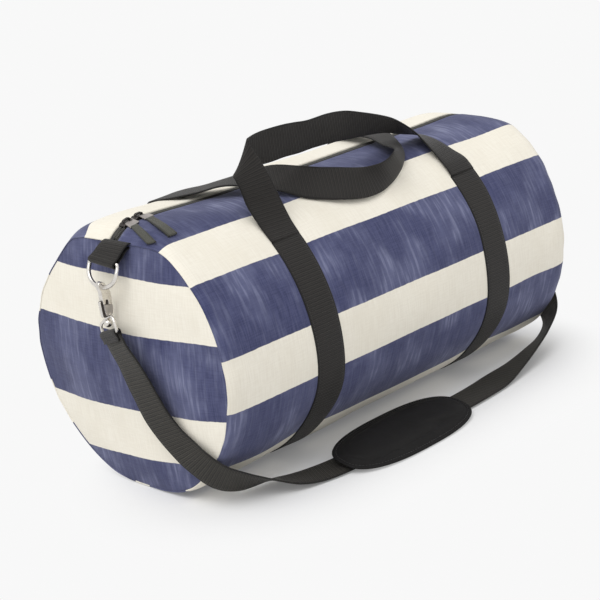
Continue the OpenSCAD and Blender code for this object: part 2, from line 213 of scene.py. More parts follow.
# %% Tools for sheets
def piece_from(name, points, faces, finish, cloth=None, smooth=True):
    """A mesh object from points and faces. cloth is the map of places in the flat fabric, with one
    place for each point or for each corner of a face."""
    mesh = bpy.data.meshes.new(name)
    mesh.from_pydata([tuple(p) for p in points], [], [tuple(int(i) for i in f) for f in faces])
    if cloth is not None:
        cloth = np.asarray(cloth, np.float32)
        if len(cloth) == len(points):
            corner = np.zeros(len(mesh.loops), int)
            mesh.loops.foreach_get("vertex_index", corner)
            cloth = cloth[corner]
        mesh.uv_layers.new(name="cloth").uv.foreach_set("vector", cloth.ravel())
    mesh.polygons.foreach_set("use_smooth", [smooth] * len(mesh.polygons))
    mesh.materials.append(finish)
    mesh.update()
    return shown(name, mesh)


def grid_faces(rows, columns, closed=False, flip=False, capped=False):
    """Faces between rows and columns of points. closed joins the last column to the first, and
    capped closes the first and the last row."""
    faces = []
    for i in range(rows - 1):
        for k in range(columns if closed else columns - 1):
            a, b = i * columns + k, i * columns + (k + 1) % columns
            quad = (a, b, b + columns, a + columns)
            faces.append(quad[::-1] if flip else quad)
    if capped:
        faces += [tuple(range(columns))[::-1], tuple(range((rows - 1) * columns, rows * columns))]
    return faces


def worked_out(piece):
    """A piece with its modifiers applied."""
    return piece.evaluated_get(bpy.context.evaluated_depsgraph_get())


def thicken(sheet, thickness):
    """Give a sheet its thickness on the inner side."""
    wall = sheet.modifiers.new("thickness", "SOLIDIFY")
    wall.thickness, wall.offset = thickness, -1


def smooth_line(points, steps):
    """A curve through all the points, with steps points to each gap."""
    p = np.asarray(points, float)
    p = np.vstack([p[:1], p, p[-1:]])
    t = (np.arange(steps) / steps)[:, None]
    out = []
    for a, b, c, d in zip(p[:-3], p[1:-2], p[2:-1], p[3:]):
        out.append(0.5 * (2 * b + (c - a) * t + (2 * a - 5 * b + 4 * c - d) * t ** 2
                          + (3 * b - a - 3 * c + d) * t ** 3))
    return np.vstack(out + [p[-1:]])


def run_length(line):
    """Distance along a line at each of its points."""
    return np.concatenate([[0], np.cumsum(np.linalg.norm(np.diff(line, axis=0), axis=1))])


def unit(v):
    """Vectors with their length made one."""
    return v / np.maximum(np.linalg.norm(v, axis=-1, keepdims=True), 1e-12)


def mm(points):
    """Places given in millimetres, as an array in metres."""
    return np.array(points, float) / 1000


def signed(turn):
    """Turns from 0 to a full turn, as turns from minus half to half."""
    return np.where(turn > np.pi, turn - 2 * np.pi, turn)


WAVES = 24


def hills(u, v, size, seed):
    """Soft random hills of about one unit, from waves with fixed directions."""
    pick = np.random.default_rng(seed)
    total = np.zeros(np.broadcast(u, v).shape)
    for _ in range(WAVES):
        way, wave = pick.uniform(0, 2 * np.pi), 2 * np.pi / (size * pick.uniform(0.7, 1.7))
        total += np.sin(wave * (u * np.cos(way) + v * np.sin(way)) + pick.uniform(0, 2 * np.pi))
    return total / np.sqrt(WAVES)


# %% [markdown]
# ## Webbing
# Strap, handles and bands are one kind of ribbed polyester webbing, 38 mm
# wide and just under 2 mm thick. Each run is swept along its two edges, which
# lets it twist and fold as real webbing does, with a rounded selvedge on each
# side. A rib crosses the ribbon every 1.9 mm and every other rib is a little
# stronger. They are drawn on the ribbon's own map, so they turn with it. The
# crests of the ribs are painted lighter and the gaps between them darker:
# painted highlight and painted shade.

# %% Webbing finish
def surface(name):
    """A new material and its node tree."""
    made = bpy.data.materials.new(name)
    made.use_nodes = True
    return made, made.node_tree


def dress(made, settings, height=None, strength=1.0, distance=1.0):
    """Set the shader's inputs by their names, and press a height into the surface."""
    tree = made.node_tree
    if height is not None:
        settings["Normal"] = node(tree, "ShaderNodeBump", {
            "Strength": strength, "Distance": distance, "Height": height}).outputs[0]
    for key, value in settings.items():
        connect(tree, tree.nodes["Principled BSDF"].inputs[key], value)
    return made


def cloth_map(tree):
    """The place in the flat fabric, whole and as separate numbers."""
    cloth = node(tree, "ShaderNodeUVMap", uv_map="cloth").outputs[0]
    return [cloth] + split(tree, cloth)[:2]


def mix(tree, share, a, b):
    """Two colours mixed by a share."""
    return node(tree, "ShaderNodeMix", {0: share, 6: a, 7: b}, data_type="RGBA").outputs[2]


def noise(tree, place, size, detail=2.0, stretch=(1, 1, 1)):
    """Noise whose grains are about size metres."""
    fitted = node(tree, "ShaderNodeMapping", {0: place, 3: tuple(s / size for s in stretch)})
    return Sum(tree, node(tree, "ShaderNodeTexNoise", {
        0: fitted.outputs[0], "Scale": 1.0, "Detail": detail}).outputs[0])


def colour(red, green, blue):
    """A colour written as 0 to 255 screen values, as the linear values that a shader reads."""
    return tuple(((c / 255 + 0.055) / 1.055) ** 2.4 if c > 10 else c / 255 / 12.92
                 for c in (red, green, blue)) + (1.0,)


WEB_W, WEB_T, RIB_PAIR = 0.038, 0.0018, 0.00387
FINE_WEAVE = 0.0011
# the ribs fade out between these distances from the edge
SELVEDGE = (0.0022, 0.0012)
RIB_HEIGHT, TWILL_HEIGHT = 0.00030, 0.00004


def webbing_finish(name, shade_and_selvedge_tone, highlight_and_worn_tone, width=WEB_W, rib_pair=RIB_PAIR):
    """Ribbed webbing: rounded ribs across the ribbon with painted highlight on their crests and painted shade
    between them, a plain selvedge and a fine twill.
    """
    made, tree = surface(name)
    cloth, across, along = cloth_map(tree)
    phase = along / rib_pair + noise(tree, cloth, 0.004, 2) * 0.25
    inside = ramp(across.maths("ABSOLUTE"), width / 2 - SELVEDGE[0], width / 2 - SELVEDGE[1], 1.0, 0.0)
    ribs = (phase.wave(1) * 0.20 + phase.wave(0.5) * 0.36 + 0.5) * inside
    twill = (across + along * 0.5).wave(FINE_WEAVE)
    # the rib crests are painted lighter and the gaps between them darker (painted highlight and painted
    # shade); the plain selvedge takes the darker tone, and worn patches take the lighter one
    tint = mix(tree, ramp(ribs, 0.0, 1.0), shade_and_selvedge_tone, highlight_and_worn_tone)
    worn = ramp(noise(tree, cloth, 0.03, 3), 0.3, 0.75, 0.0, 0.25)
    return dress(made, {"Base Color": mix(tree, worn, tint, highlight_and_worn_tone), "Roughness": 0.62, "Sheen Weight": 0.08,
                        "Sheen Roughness": 0.5, "Specular IOR Level": 0.25},
                 ribs * RIB_HEIGHT + twill * TWILL_HEIGHT, 0.9)


webbing_black = webbing_finish("charcoal_webbing", colour(15, 13, 12), colour(40, 37, 34))
print("webbing:", WEB_W * 1000, "mm wide")

# %% Webbing ribbon
def ribbon(name, first, second, thickness=WEB_T, steps=6, finish=webbing_black):
    """Webbing between two edges given as points; also returns its middle line. Its upper face is the
    one that cross(along, across) points to."""
    first, second = smooth_line(first, steps), smooth_line(second, steps)
    middle, across = (first + second) / 2, (second - first) / 2
    up = unit(np.cross(np.gradient(middle, axis=0), across))
    along = run_length(middle)
    half = np.linalg.norm(across, axis=1)
    # the section from one edge to the other and back: shares of the half width and of the thickness
    top = [(-1, 0), (-0.985, 0.7), (-0.95, 1), (-0.65, 1), (-0.33, 1), (0, 1), (0.33, 1), (0.65, 1),
           (0.95, 1), (0.985, 0.7), (1, 0)]
    section = top + [(s, -r) for s, r in top[-2:0:-1]]
    points = np.stack([middle + across * s + up * (r * thickness / 2) for s, r in section], 1)
    cloth = np.stack([np.stack([half * s, along], 1) for s, _ in section], 1)
    faces = grid_faces(len(middle), len(section), closed=True, capped=True)
    return piece_from(name, points.reshape(-1, 3), faces, finish, cloth.reshape(-1, 2)), middle

# %% [markdown]
# ## Shoulder strap
# The strap is the bag's one loose cord: a flat ribbon that hangs from the
# hook at the left, turns under the bag's lower corner, lies on the ground
# along the front and climbs to the adjuster at the right. From there a
# doubled loop goes on to the right hook. The line is a list of places with
# the way across the ribbon at each.

# %% Shoulder strap
strap_route = [
    [(-293.4, -10.8, 170.8), (-.22, -.919, .326)], [(-294, -14.8, 166.5), (-.175, -.923, .343)],
    [(-294, -20.5, 157.6), (-.168, -.91, .379)], [(-292, -28.3, 144.5), (-.112, -.928, .355)],
    [(-289, -36.5, 124.6), (-.021, -.941, .337)], [(-287, -42.1, 110.6), (0, -.93, .36)],
    [(-284, -49.5, 92.4), (.041, -.92, .39)], [(-280, -60, 75.3), (.08, -.918, .389)],
    [(-279, -76, 63.6), (.12, -.88, .45)], [(-277, -92, 52), (.05, -.76, .62)],
    [(-265, -107, 35), (-.05, -.62, .77)],
    [(-240, -111, 21), (-.25, -.62, .74)], [(-208, -118, 12), (-.5, -.78, .38)],
    [(-185, -127, 6), (-.5, -.85, .12)], [(-160, -133, 3), (-.45, -.89, 0)],
    [(-131, -138, 3), (-.3, -.95, 0)], [(-90, -140, 3), (-.1, -1, 0)],
    [(-40, -140, 3), (0, -1, 0)], [(10, -139, 3), (0, -1, 0)],
    [(50, -138, 3), (0, -1, 0)], [(94, -136, 3), (0, -1, 0)],
    [(130, -133, 4), (-.15, -1, 0)], [(167, -129, 8), (-.3, -.9, .2)],
    [(200, -126, 15), (-.45, -.8, .3)], [(232, -120, 22), (-.4, -.76, .5)],
    [(261, -110, 32), (-.2, -.7, .65)], [(276, -96, 44), (0, -.66, .72)],
    [(284, -79, 62), (0, -.72, .68)], [(288, -64, 84), (0, -.82, .57)],
    [(288, -50, 104), (0, -.82, .57)], [(290, -36, 124), (.03, -.9, .42)],
    [(293, -25, 148), (.15, -.92, .37)], [(294, -14.8, 166.5), (.175, -.923, .343)],
    [(293.4, -10.8, 170.8), (.22, -.919, .326)]]
# the last stretch is the doubled loop between the adjuster and the right hook
loop_route, strap_route = strap_route[-5:], strap_route[:-3]
strap_webbing = webbing_finish("strap_webbing", colour(18, 17, 16), colour(56, 53, 47))


def strap_part(name, route, out=0.0):
    """Strap webbing along a route, laid outwards by a distance; also returns its middle line."""
    middle = mm([place for place, _ in route]) + (out, 0, 0)
    across = unit(np.array([way for _, way in route], float)) * WEB_W / 2
    return ribbon(name, middle - across, middle + across, finish=strap_webbing)


strap, strap_line = strap_part("shoulder_strap_webbing", strap_route)
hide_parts("shoulder_strap")
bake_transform(strap)
strap_loop, _ = strap_part("strap_loop_right", loop_route, WEB_T + 0.0002)
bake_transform(strap_loop)

# %% [markdown]
# ## Canvas
# The cloth is woven in broad blue and cream stripes. Its blue yarn has a
# brushed, slubby look: thin pale streaks run across each stripe and gather in
# worn patches. The pattern is drawn on the cloth's own map, whose first
# number runs along the stripes and whose second runs across them, so the
# stripes meet the seams where the real panels are cut.

# %% Canvas finish
STRIPE_PERIOD = 0.1285
CREAM_WIDTH = 0.0510
STRIPE_BLUR = 0.0003
CANVAS_T = 0.0011


def canvas_finish(name):
    """Striped canvas of brushed blue yarn and plain cream yarn."""
    made, tree = surface(name)
    cloth, along, across = cloth_map(tree)
    stray = (noise(tree, cloth, 0.006, 3) - 0.5) * 0.0012
    away = (((across + stray) / STRIPE_PERIOD).maths("FRACT") - 0.5).maths("ABSOLUTE") * STRIPE_PERIOD
    cream_share = ramp(away, CREAM_WIDTH / 2 - STRIPE_BLUR, CREAM_WIDTH / 2 + STRIPE_BLUR, 1.0, 0.0)
    # thin streaks of yarn both ways, and the patches in which the cloth is brushed pale
    warp_yarn = noise(tree, cloth, 0.0013, 3, stretch=(1, 0.06, 1))
    weft_yarn = noise(tree, cloth, 0.0013, 3, stretch=(0.08, 1, 1))
    long_streak = noise(tree, cloth, 0.0040, 3, stretch=(1, 0.09, 1))
    patches = noise(tree, cloth, 0.050, 4, stretch=(1, 0.7, 1))
    yarn = warp_yarn * 0.6 + weft_yarn * 0.4
    yarn_share = ramp(yarn, 0.36, 0.64)
    brushed = ramp(long_streak, 0.44, 0.72) * ramp(patches, 0.42, 0.66, 0.15, 1.0)
    blue = mix(tree, yarn_share, colour(50, 54, 89), colour(68, 72, 108))
    blue = mix(tree, ramp(patches, 0.40, 0.66, 0.0, 0.40), blue, colour(112, 116, 148))
    blue = mix(tree, brushed * 0.55, blue, colour(142, 146, 174))
    ecru = mix(tree, yarn_share, colour(231, 225, 211), colour(238, 233, 220))
    ecru = mix(tree, ramp(patches, 0.40, 0.66, 0.0, 0.25), ecru, colour(224, 217, 200))
    weave = along.wave(FINE_WEAVE) * across.wave(FINE_WEAVE)
    return dress(made, {"Base Color": mix(tree, cream_share, blue, ecru), "Roughness": 0.88,
                        "Sheen Weight": 0.12, "Sheen Roughness": 0.6, "Specular IOR Level": 0.2},
                 weave * 0.00005 + yarn * 0.00015, 0.7)


canvas = canvas_finish("striped_canvas")

# %% [markdown]
# ## The tube
# The body is one sheet rolled into a tube from one side of the zip, under the
# base and up to the other side. It is a lofted shell and not a hard pipe: it
# flattens where it stands, the end seams and the bands draw it in, and soft
# hills run over it. One function gives the skin at any place, so that bands,
# stitches and the zip can be laid on the same surface.

# %% Skin of the tube
RADIUS, AXIS, HALF = 0.140, 0.135, 0.268
GROUND = 0.0018
BAND_X = 0.136
STITCH_TURN = 0.0178 / RADIUS
# height of the canvas along the zip: it sags in the middle, stands up near
# the sliders and droops over the left shoulder to the seam
crest = smooth_line(mm([
    (-268, 255.0), (-264, 258.2), (-259, 262.4), (-254, 265.6), (-247, 268.2), (-238, 269.6), (-225, 270.0),
    (-205, 269.6), (-180, 268.6), (-150, 267.9), (-120, 267.2), (0, 267.0), (70, 267.9), (150, 268.3),
    (190, 268.6), (223, 270.2), (240, 269.8), (252, 267.4), (261, 263.6), (268, 259.5)]), 8)


def skin(x, turn, lift=0.0):
    """The canvas at a distance x along the bag and an angle turn from the zip towards the front."""
    x, turn = np.broadcast_arrays(np.asarray(x, float), np.asarray(turn, float))
    end = np.maximum(HALF - np.abs(x), 0)
    from_left, from_right = np.maximum(x + HALF, 0), np.maximum(HALF - x, 0)
    radius = RADIUS - 0.0028 * np.exp(-(end / 0.0045) ** 1.3)
    radius = radius - 0.0007 * np.exp(-((np.abs(x) - BAND_X) / 0.021) ** 4)
    calm = 1 - np.exp(-(end / 0.02) ** 2)
    radius = radius + 0.0008 * calm * hills(x, turn * RADIUS, 0.095, 4)
    radius = radius + 0.0004 * hills(x * 0.35, turn * RADIUS, 0.03, 9) * np.exp(-(end / 0.03) ** 2)
    # the row of stitches beside the zip pulls the cloth down a little
    radius = radius - 0.0006 * np.exp(-((np.abs(turn) - STITCH_TURN) * RADIUS / 0.0016) ** 2)
    # the left shoulder is drawn in towards its seam at the rear
    radius = radius - 0.0085 * np.exp(-((turn + 0.80) / 0.45) ** 2 - (from_left / 0.014) ** 2)
    radius = radius + lift
    y, z = -radius * np.sin(turn), AXIS + radius * np.cos(turn)
    # the top sinks under its own weight, softly at the edge of the flat
    sunk = np.interp(x, crest[:, 0], crest[:, 1]) + lift
    z = sunk - 0.0035 * np.logaddexp(0, (sunk - z) / 0.0035)
    z = GROUND + 0.0025 * np.logaddexp(0, (z - GROUND) / 0.0025)
    # the seams are not quite square to the tube
    left_out = -0.0055 * np.exp(-((turn + 1.55) / 0.8) ** 2 - (from_left / 0.05) ** 2)
    right_in = -0.0095 * np.exp(-((turn - 1.55) / 0.70) ** 4) + 0.002 * np.exp(-(turn / 0.6) ** 2)
    right_in = right_in * np.exp(-(from_right / 0.05) ** 2)
    return np.stack([x + left_out + right_in, y, z], -1)


# %% Fabric map across the stripes
# places round the tube where a stripe begins or ends, in degrees from the zip
tube_marks = np.radians([-200.0, -172.0, -128.7, -107.8, -76.1, -55.2, -24.0, -0.5, 29.2, 49.9, 80.9, 102.8,
                         134.2, 155.0, 186.5])


def across_from(value, marks):
    """Place across the pattern: marks are where each cream stripe begins and ends, in turn."""
    k = np.arange(len(marks))
    steps = (k // 2) * STRIPE_PERIOD + (STRIPE_PERIOD + np.where(k % 2, CREAM_WIDTH, -CREAM_WIDTH)) / 2
    out = np.interp(value, marks, steps)
    low, high = value < marks[0], value > marks[-1]
    slope = STRIPE_PERIOD / (marks[2] - marks[0])
    return np.where(low, steps[0] + (value - marks[0]) * slope,
                    np.where(high, steps[-1] + (value - marks[-1]) * slope, out))


# %% Canvas tube
ZIP_TURN = 0.0560
fine_end = HALF - np.array([0, 0.0008, 0.0018, 0.003, 0.0045, 0.0065, 0.009, 0.0125])
x_rows = np.concatenate([-fine_end, np.linspace(-0.252, 0.252, 121), fine_end[::-1]])
from_zip = mm([0, 1.5, 3, 4.5, 6, 7.2, 8.2, 8.9, 9.6, 10.3, 11, 11.9, 13, 15, 17.5, 21, 25])
near_zip = ZIP_TURN + from_zip / RADIUS
turns = np.concatenate([near_zip, np.linspace(near_zip[-1], 2 * np.pi - near_zip[-1], 196)[1:-1],
                        2 * np.pi - near_zip[::-1]])
# the sheet is folded under at both sides of the zip
fold = np.array([0.0095, 0.0045, 0.0012, 0.0, 0.0])
fold_lift = np.array([-0.0020, -0.0020, -0.0018, -0.0011, -0.0003])
turn_all = np.concatenate([turns[0] + fold / RADIUS, turns, turns[-1] - fold[::-1] / RADIUS])
lift_all = np.concatenate([fold_lift, np.zeros(len(turns)), fold_lift[::-1]])
grid_x, grid_turn = np.meshgrid(x_rows, turn_all, indexing="ij")
points = skin(grid_x, signed(grid_turn), lift_all[None, :])
faces = grid_faces(len(x_rows), len(turn_all), flip=True)
# the front and the rear half of the pattern meet at a seam under the base
corners = np.array(faces)
column = corners % len(turn_all)
rear = column.min(axis=1, keepdims=True) >= np.searchsorted(turn_all, np.pi) - 1
map_turn = turn_all[column] - 2 * np.pi * rear
# at the left shoulder the rear stripe is cut nearer to the zip
corner_x = x_rows[corners // len(turn_all)]
near_seam = np.exp(-(np.maximum(corner_x + HALF, 0) / 0.016) ** 2)
map_turn = map_turn - math.radians(6.5) * near_seam * np.exp(-((map_turn + 0.38) / 0.22) ** 2)
tube = piece_from("canvas_tube", points.reshape(-1, 3), faces, canvas,
                  np.stack([corner_x, across_from(map_turn, tube_marks)], -1).reshape(-1, 2))
thicken(tube, CANVAS_T)
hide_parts("body_panel")
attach(tube, "bag")
print("tube sheet:", len(x_rows), "by", len(turn_all), "points")

# %% [markdown]
# ## End panels
# Each end is closed by a round panel that swells a little outwards over what
# is packed behind it. Rings of points from the middle to the seam make it,
# with the same flat foot as the tube. Its stripes lie nearly level and bend a
# little with the swell.

# %% End panels
# heights at which a stripe begins or ends on the panel's middle line
end_marks = np.array([-0.0872, -0.0362, 0.0345, 0.0870, 0.1690, 0.2241, 0.3003, 0.3513])
# slope and sag of each of these edges across the panel
END_TILT = np.array([-0.080, -0.080, -0.080, -0.047, 0.0, 0.005, 0.005, 0.005])
END_SAG = np.array([0.15, 0.15, 0.15, 0.20, 0.113, 0.085, 0.085, 0.085])
DOME = 0.012


def dome(radius_share, turn, side):
    """A point of the end panel, by its share of the seam's radius and its angle."""
    rim = skin(np.full(np.shape(turn), side * HALF), turn)
    centre = np.array([side * HALF, 0, AXIS])
    flat = centre + (rim - centre) * radius_share[..., None]
    swell = DOME * (1 - radius_share ** 2)
    calm = np.clip((1 - radius_share) * 4, 0, 1)
    swell = swell + 0.0012 * calm * hills(flat[..., 1], flat[..., 2], 0.10, 21 + side)
    return flat + np.stack([side * (swell - 0.0002), 0 * swell, 0 * swell], -1)


for side, label in ENDS:
    shares = np.concatenate([[1.0, 0.994, 0.986, 0.975, 0.96], np.linspace(0.94, 0.02, 42)])
    angles = np.linspace(-np.pi, np.pi, 181)[:-1]
    share_grid, angle_grid = np.meshgrid(shares, angles, indexing="ij")
    points = dome(share_grid, angle_grid, side)
    # the panel's edge is turned in behind the seam
    edge = points[:1].copy()
    edge[..., 0] -= side * 0.004
    edge[..., 1:] = np.array([0, AXIS]) + (edge[..., 1:] - np.array([0, AXIS])) * 0.985
    points = np.concatenate([edge, points])
    middle = np.array([[side * (HALF + DOME), 0, AXIS]])
    all_points = np.vstack([points.reshape(-1, 3), middle])
    count = len(angles)
    faces = grid_faces(len(points), count, closed=True, flip=side < 0)
    last = (len(points) - 1) * count
    for k in range(count):
        tri = (last + k, last + (k + 1) % count, len(all_points) - 1)
        faces.append(tri[::-1] if side < 0 else tri)
    y, z = all_points[:, 1], all_points[:, 2]
    stripe_z = z
    for _ in range(3):
        tilt_here, sag_here = (np.interp(stripe_z, end_marks, edges) for edges in (END_TILT, END_SAG))
        stripe_z = z - y * tilt_here - y * y * sag_here
    cloth = np.stack([y, across_from(stripe_z, end_marks)], -1)
    panel = piece_from(f"end_canvas_{label}", all_points, faces, canvas, cloth)
    thicken(panel, CANVAS_T)
    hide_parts(f"end_panel_{label}")
    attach(panel, "bag")
    print("end panel", label, len(all_points), "points")

# %% [markdown]
# ## Bands
# A band of webbing is sewn round the tube on each side: up the front, under
# the base and up the back, and it carries the weight. It follows the skin at
# a small distance, found from the skin's own slope, and slips under the base
# where the bag stands on it.

# %% Bands
HANDLE_TURN = math.radians(44.8)
BAND_LIFT = 0.0013


def on_skin(x, turn, lift):
    """A place at a distance over the canvas, square to it, and never under the ground."""
    step = 0.004
    slope = skin(x, turn + step) - skin(x, turn - step)
    out = unit(np.stack([np.zeros(len(slope)), slope[:, 2], -slope[:, 1]], 1))
    place = skin(x, turn) + out * lift
    place[:, 2] = np.maximum(place[:, 2], WEB_T / 2 + 0.0001)
    return place


def band_line(side):
    """Turns and middle distances of a band; the cloth lets it wander a few millimetres."""
    turn = np.linspace(HANDLE_TURN, 2 * np.pi - HANDLE_TURN, 90)
    degrees = np.degrees(turn)
    if side < 0:
        wander = 0.006 * np.exp(-((degrees - 112) / 26) ** 2)
    else:
        wander = -0.004 * np.exp(-((degrees - 78) / 20) ** 2)
    return turn, side * BAND_X + wander


for side, label in ENDS:
    turn, middle_x = band_line(side)
    edges = [on_skin(middle_x + half, signed(turn), BAND_LIFT) for half in (-WEB_W / 2, WEB_W / 2)]
    band, _ = ribbon(f"band_webbing_{label}", edges[0], edges[1], steps=2)
    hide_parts(f"band_{label}")
    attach(band, "bag")

# %% [markdown]
# ## Handles
# The two handles carry on from the bands. The front one stands in an arch:
# its left leg is folded back on the diagonal and its right leg twists on the
# way down. The rear one lies across the zip and through the arch, with its
# loop over the front of the bag. For both, the edges of the ribbon are listed
# in order, in millimetres, and the ribbon passes through them.

# %% Handles
front_first = [
    (-155, -99.5, 235.2), (-156, -87, 249), (-161, -77, 270), (-166, -76, 287), (-169, -73, 299),
    (-167, -68.5, 301.5), (-157, -64, 301.5), (-144, -60, 301), (-125, -57, 300), (-104, -56, 299),
    (-82, -54, 299), (-61, -53, 298), (-39, -51, 298), (-9, -51, 297), (18, -48, 294), (48, -44, 291),
    (79, -41, 287), (105, -39, 280), (125, -36, 275), (137, -37, 272), (144, -46, 269), (148, -61, 263),
    (153, -74, 254), (155, -89, 246), (155, -99.5, 235.2)]
front_second = [
    (-117, -99.5, 235.2), (-118, -90, 249), (-123, -84, 271), (-129, -82, 289), (-134, -77, 306),
    (-139, -72, 320), (-142, -68.5, 331), (-137, -65.5, 332.5), (-126, -64, 334), (-112, -63, 334.5),
    (-91, -64, 334.5), (-73, -63, 333), (-53, -63, 331), (-22, -61, 331), (5, -60, 328), (30, -60, 321),
    (58, -59, 312), (81, -57, 303), (98, -58, 292), (109, -61, 282), (111, -67, 275), (114, -76, 264),
    (117, -84, 253), (117, -93, 244), (117, -99.5, 235.2)]
rear_first = [
    (-117, 99.5, 235.2), (-117, 85, 250), (-134, 70, 260.5), (-135, 43, 269.3), (-128, 21, 274),
    (-116, 5, 278.5), (-102, -12, 283.5), (-82, -33, 289), (-61, -52, 285), (-44, -63, 280.5),
    (-29, -71, 277.5), (-17, -78, 275), (-8, -84, 273.5), (0, -89, 273), (12, -95, 274), (25, -95, 276),
    (38, -92, 280), (56, -76, 278), (71, -46, 276), (81, -18, 279), (88, 16, 278), (102, 56, 269),
    (116, 84, 251), (117, 99.5, 235.2)]
rear_second = [
    (-155, 99.5, 235.2), (-155, 84, 250), (-168, 61, 262.8), (-169, 28, 269.8), (-158, -2, 275.8),
    (-142, -22, 280.6), (-125, -40, 278), (-100, -59, 269), (-77, -75, 257), (-58, -85, 252),
    (-44, -90.5, 249), (-29, -94, 246), (-11, -95.5, 243.5), (12, -94, 243.5), (34, -89, 247),
    (51, -84, 252), (65, -79, 259), (86, -63, 266), (105, -36, 274), (116, -10, 279), (123, 21, 278),
    (139, 53, 269), (154, 84, 251), (155, 99.5, 235.2)]
for label, first, second, sign in (("front", front_first, front_second, -1),
                                   ("rear", rear_first, rear_second, 1)):
    handle, handle_line = ribbon(f"handle_webbing_{label}", mm(first), mm(second))
    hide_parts(f"handle_{label}")
    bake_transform(handle)
    print("handle", label, "mm:", round(run_length(handle_line)[-1] * 1000))

# %% [markdown]
# ## Stitches
# A sewn line is the same small thing many times over, and so is a row of zip
# teeth, so Geometry Nodes make both. The tree takes a line, spaces points
# along it and sets one short rounded body on each; stitches also turn with
# the line. The result is turned into a plain mesh at once, because a moved or
# exported model keeps no instances.

# %% Stitch tree
def scaled(tint, times):
    """A colour made lighter or darker."""
    return tuple(min(1.0, c * times) for c in tint[:3]) + (1,)


def thread_finish(name, tint):
    """Twisted sewing thread."""
    made, tree = surface(name)
    grain = noise(tree, node(tree, "ShaderNodeTexCoord").outputs["Object"], 0.0006, 2)
    return dress(made, {"Base Color": mix(tree, grain, tint, scaled(tint, 1.6)), "Roughness": 0.55,
                        "Sheen Weight": 0.2}, grain, 0.5, 0.0001)


def maker_tree(name, segments, rings, turned):
    """A tree that sets small rounded bodies along a line, and the identifiers of its inputs."""
    tree = bpy.data.node_groups.new(name, "GeometryNodeTree")
    inputs = {}
    for label in ("Line", "Spacing", "Size", "Finish"):
        kind = {"Line": "Geometry", "Spacing": "Float", "Size": "Vector", "Finish": "Material"}[label]
        inputs[label] = tree.interface.new_socket(
            name=label, in_out="INPUT", socket_type="NodeSocket" + kind).identifier
    tree.interface.new_socket(name="Geometry", in_out="OUTPUT", socket_type="NodeSocketGeometry")
    given = node(tree, "NodeGroupInput").outputs
    curve = node(tree, "GeometryNodeMeshToCurve", {0: given["Line"]})
    spaced = node(tree, "GeometryNodeResampleCurve", {"Curve": curve.outputs[0], "Length": given["Spacing"]},
                  mode="LENGTH")
    ball = node(tree, "GeometryNodeMeshUVSphere", {"Segments": segments, "Rings": rings, "Radius": 0.5})
    laid = {"Points": spaced.outputs[0], "Instance": ball.outputs[0], "Scale": given["Size"]}
    if turned:
        way = node(tree, "GeometryNodeInputTangent")
        laid["Rotation"] = node(tree, "FunctionNodeAlignRotationToVector", {"Vector": way.outputs[0]},
                                axis="X").outputs[0]
    real = node(tree, "GeometryNodeRealizeInstances", {0: node(
        tree, "GeometryNodeInstanceOnPoints", laid).outputs[0]})
    finished = node(tree, "GeometryNodeSetMaterial",
                    {"Geometry": real.outputs[0], "Material": given["Finish"]})
    node(tree, "NodeGroupOutput", {0: finished.outputs[0]})
    return tree, inputs


def made_by(maker, name, lines, finish, spacing, size):
    """Run a maker on lines of points and keep the result as a plain mesh."""
    tree, inputs = maker
    points, edges = [], []
    for line in lines:
        start = len(points)
        points += [tuple(p) for p in np.asarray(line, float)]
        edges += [(start + k, start + k + 1) for k in range(len(line) - 1)]
    mesh = bpy.data.meshes.new(name + "_line")
    mesh.from_pydata(points, edges, [])
    guide = shown(name + "_line", mesh)
    work = guide.modifiers.new("maker", "NODES")
    work.node_group = tree
    for key, value in (("Finish", finish), ("Spacing", spacing), ("Size", size)):
        work[inputs[key]] = value
    made = bpy.data.meshes.new_from_object(worked_out(guide))
    made.name = name
    made.polygons.foreach_set("use_smooth", [True] * len(made.polygons))
    bpy.data.objects.remove(guide)
    return shown(name, made)


THREAD = 0.0005
stitcher = maker_tree("sewn line", 6, 4, turned=True)
thread_blue = thread_finish("blue_thread", colour(44, 47, 78))
thread_black = thread_finish("black_thread", colour(38, 36, 35))
print("stitch tree:", len(stitcher[0].nodes), "nodes")

# %% Topstitching beside the zip and along the bands
ZIP_PITCH, ZIP_STITCH = 0.0034, 0.0026
BAND_PITCH, BAND_STITCH = 0.0036, 0.0027
# from the middle of a band to each of its two rows, and the turn at which they end
BAND_ROW = 0.0162
ROW_END = math.radians(150)
top_x = np.linspace(-0.262, 0.262, 240)
top_lines = [skin(top_x, np.full(len(top_x), sign * STITCH_TURN), 0.0001) for sign in (-1, 1)]
topstitch = made_by(stitcher, "zip_topstitch", top_lines, thread_blue, ZIP_PITCH,
                    (ZIP_STITCH, THREAD, THREAD))
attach(topstitch, "bag")
band_lines = []
for side in (-1, 1):
    turn, middle_x = band_line(side)
    sewn = turn < ROW_END
    for half in (-BAND_ROW, BAND_ROW):
        for part in (turn[sewn], 2 * np.pi - turn[sewn]):
            band_lines.append(on_skin(middle_x[sewn] + half, signed(part), BAND_LIFT + 0.001))
band_stitch = made_by(stitcher, "band_stitch", band_lines, thread_black, BAND_PITCH,
                      (BAND_STITCH, THREAD, THREAD))
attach(band_stitch, "bag")
print("stitches:", len(topstitch.data.polygons) // 24, "and", len(band_stitch.data.polygons) // 24)

# %% [markdown]
# ## Zip
# Two woven tapes lie under the folded canvas, and a nylon coil is sewn along
# each of them. Every turn of a coil is one tooth that hooks between two of
# the other side. A second tree sets the teeth out along the two rows; the
# rows bow apart between the sliders, where the zip is open.

